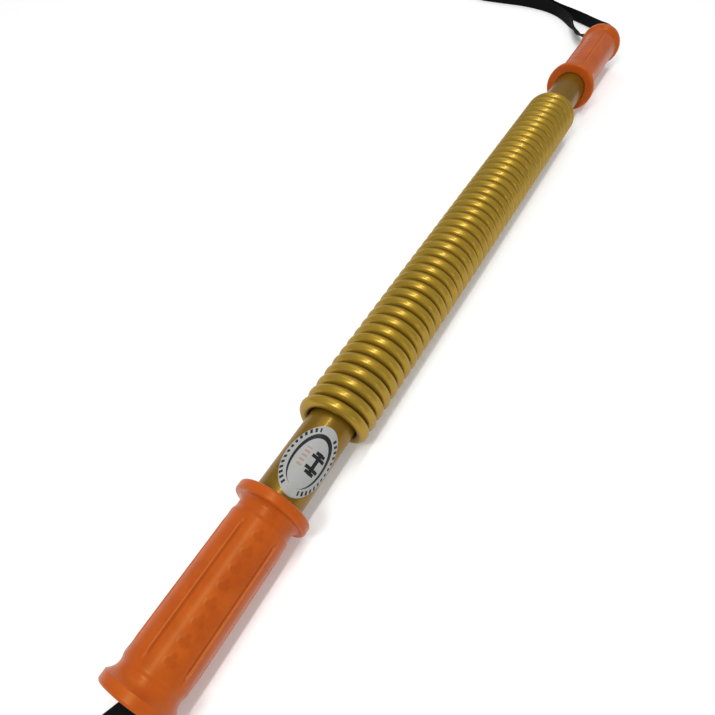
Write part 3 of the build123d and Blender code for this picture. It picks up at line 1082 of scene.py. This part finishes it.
def round_free_end(piece, at_start):
    """Rounds the rim of the wire's cut end."""
    bpy.ops.object.mode_set(mode="EDIT")
    bpy.ops.mesh.select_mode(type="FACE")
    bpy.ops.mesh.select_all(action="DESELECT")
    mesh = bmesh.from_edit_mesh(piece.data)
    caps = [face for face in mesh.faces if len(face.verts) > 4]
    chosen = (min if at_start else max)(caps, key=lambda face: face.calc_center_median().x)
    chosen.select = True
    bmesh.update_edit_mesh(piece.data)
    bpy.ops.mesh.bevel(offset=settings().spring.end_round, segments=3, affect="EDGES")
    bpy.ops.object.mode_set(mode="OBJECT")


def keep_rest_place(piece):
    """Keeps each point's place at rest, so that the paint stays on the wire as it bends."""
    places = piece.data.attributes.new("rest_place", "FLOAT_VECTOR", "POINT")
    for vertex, place in zip(piece.data.vertices, places.data):
        place.vector = vertex.co


class BAR_OT_make_spring(bpy.types.Operator):
    """Winds the spring as lengths of wire: its two ends on the end bodies and one length across each hinge"""

    bl_idname = "bending_bar.make_spring"
    bl_label = "Spring"

    def execute(self, context):
        sizes = settings().spring
        paint = "gold paint on wire"
        finish = finish_of(paint, gold_paint, paint, rest_place, settings().colours.gold)
        start_x = HINGES[0].x - sizes.near_turns * PITCH
        half = TURNS_PER_HINGE / 2
        near = wind_wire("spring_wire_near_end", start_x, 0, sizes.near_turns - half)
        round_free_end(near, at_start=True)
        total = sizes.near_turns + (len(HINGES) - 1) * TURNS_PER_HINGE + sizes.far_turns
        far_turns = sizes.far_turns - half
        far = wind_wire("spring_wire_far_end", start_x, total - far_turns, far_turns)
        round_free_end(far, at_start=False)
        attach(near, BODY_CHAIN[0])
        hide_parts("near_spring_end")
        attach(far, BODY_CHAIN[-1])
        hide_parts("far_spring_end")
        pieces = [near, far]
        for i, hinge in enumerate(HINGES):
            name = f"spring_wire_{i + 1:02d}"
            start_turns = sizes.near_turns + i * TURNS_PER_HINGE - half
            piece = wind_wire(name, start_x, start_turns, TURNS_PER_HINGE)
            pieces.append(piece)
            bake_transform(piece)
            if i < len(HINGES) - 1:
                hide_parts(f"spring_group_{i + 1:02d}")
        for piece in pieces:
            select_only(piece)
            bpy.ops.object.shade_smooth_by_angle(angle=math.radians(50))
            keep_rest_place(piece)
            wear(piece, finish)
        return {"FINISHED"}


# ---- CAD pieces that stay --------------------------------


class BAR_OT_finish_frame(bpy.types.Operator):
    """Gives the tubes, the anchor threads, the knots and the label their finishes"""

    bl_idname = "bending_bar.finish_frame"
    bl_label = "Tubes, threads, knots and label"

    def execute(self, context):
        # The tubes' gold paint is darkened with painted shade.
        paint = "gold paint on tube"
        finishes = {
            "near_tube": finish_of(paint, gold_paint, paint, object_place, settings().colours.shaded_tube_gold),
            "near_anchor_thread": finish_of("welded wire", bare_wire),
            "near_strap_knot": finish_of("knot yarn", knot_yarn),
            "near_label": finish_of("printed label film", label_print),
        }
        for node, finish in finishes.items():
            wear(frame["nodes"][node], finish)
            twin = node.replace("near", "far")
            if twin in frame["nodes"]:
                wear(frame["nodes"][twin], finish)
        return {"FINISHED"}


# ---- stage -----------------------------------------------


def look_from(heading, pitch):
    """The camera's turn for a heading from +X towards +Y and a pitch below the horizon."""
    ahead = Vector(
        (math.cos(pitch) * math.cos(heading), math.cos(pitch) * math.sin(heading), -math.sin(pitch))
    )
    return ahead.to_track_quat("-Z", "Y").to_euler()


def add_area_light(name, direction, distance, size, power):
    """A rectangular light that faces the middle of the bar."""
    target = Vector((0, 0, AXIS_HEIGHT))
    place = target + Vector(direction).normalized() * distance
    light = bpy.data.lights.new(name, "AREA")
    light.shape = "RECTANGLE"
    light.size, light.size_y = size
    light.energy = power
    lamp = bpy.data.objects.new(name, light)
    lamp.location = place
    lamp.rotation_euler = (target - place).to_track_quat("-Z", "Y").to_euler()
    bpy.context.scene.collection.objects.link(lamp)
    return lamp


class BAR_OT_make_stage(bpy.types.Operator):
    """Sets the camera, the lights, the even sky and the pale floor"""

    bl_idname = "bending_bar.make_stage"
    bl_label = "Stage"

    def execute(self, context):
        stage = settings().stage
        camera_data = bpy.data.cameras.new("camera")
        camera_data.lens = stage.lens
        camera_data.sensor_width = 36
        camera_data.clip_start, camera_data.clip_end = 0.01, 50
        camera = bpy.data.objects.new("camera", camera_data)
        camera.location = (stage.camera_back, stage.camera_side, stage.camera_height)
        camera.rotation_euler = look_from(stage.camera_heading, stage.camera_pitch)
        context.scene.collection.objects.link(camera)
        context.scene.camera = camera

        clear_selection()
        bpy.ops.mesh.primitive_grid_add(x_subdivisions=4, y_subdivisions=4, size=30, location=(0, 0, 0))
        floor = context.object
        floor.name = "floor"
        wear(floor, finish_of("pale floor", floor_finish))

        add_area_light("key_light", (-0.58, 0.06, 0.81), 1.3, (0.24, 0.24), stage.key_power)
        add_area_light("strip_light", (0, 0, 1), 1.3, (1.2, 0.06), stage.strip_power)
        add_area_light("side_light", (-0.52, -0.80, 0.30), 1.3, (0.20, 0.20), stage.side_power)
        add_area_light("fill_light", (0.5, 0.35, 0.8), 1.8, (1.2, 1.2), stage.fill_power)
        world = bpy.data.worlds.new("even sky")
        world.use_nodes = True
        sky = world.node_tree.nodes["Background"]
        sky.inputs["Color"].default_value = (1, 1, 1, 1)
        sky.inputs["Strength"].default_value = stage.sky
        context.scene.world = world
        context.scene.view_settings.view_transform = "Standard"
        return {"FINISHED"}


# ---- panel and registration ------------------------------


class BAR_PT_panel(bpy.types.Panel):
    bl_label = "Bending Bar"
    bl_idname = "BAR_PT_panel"
    bl_space_type = "VIEW_3D"
    bl_region_type = "UI"
    bl_category = "Bending Bar"

    def draw(self, context):
        column = self.layout.column()
        for operator in STEPS:
            column.operator(operator.bl_idname)
        for group in ("spring", "grip", "strap", "stage", "colours"):
            box = self.layout.box()
            box.label(text=group.title())
            values = getattr(settings(), group)
            for name in values.bl_rna.properties.keys():
                if name not in ("rna_type", "name"):
                    box.prop(values, name)


STEPS = (BAR_OT_make_stage, BAR_OT_make_straps, BAR_OT_finish_frame, BAR_OT_make_grips, BAR_OT_make_spring)
GROUPS = (SpringSizes, GripSizes, StrapSizes, StageSettings, FinishColours, BarSettings)
CLASSES = (*GROUPS, *STEPS, BAR_PT_panel)


def register():
    for one in CLASSES:
        bpy.utils.register_class(one)
    bpy.types.Scene.bending_bar = PointerProperty(type=BarSettings)


def unregister():
    del bpy.types.Scene.bending_bar
    for one in reversed(CLASSES):
        bpy.utils.unregister_class(one)


def main():
    register()
    for operator in STEPS:
        family, step = operator.bl_idname.split(".")
        getattr(getattr(bpy.ops, family), step)()


if __name__ == "__main__":
    main()
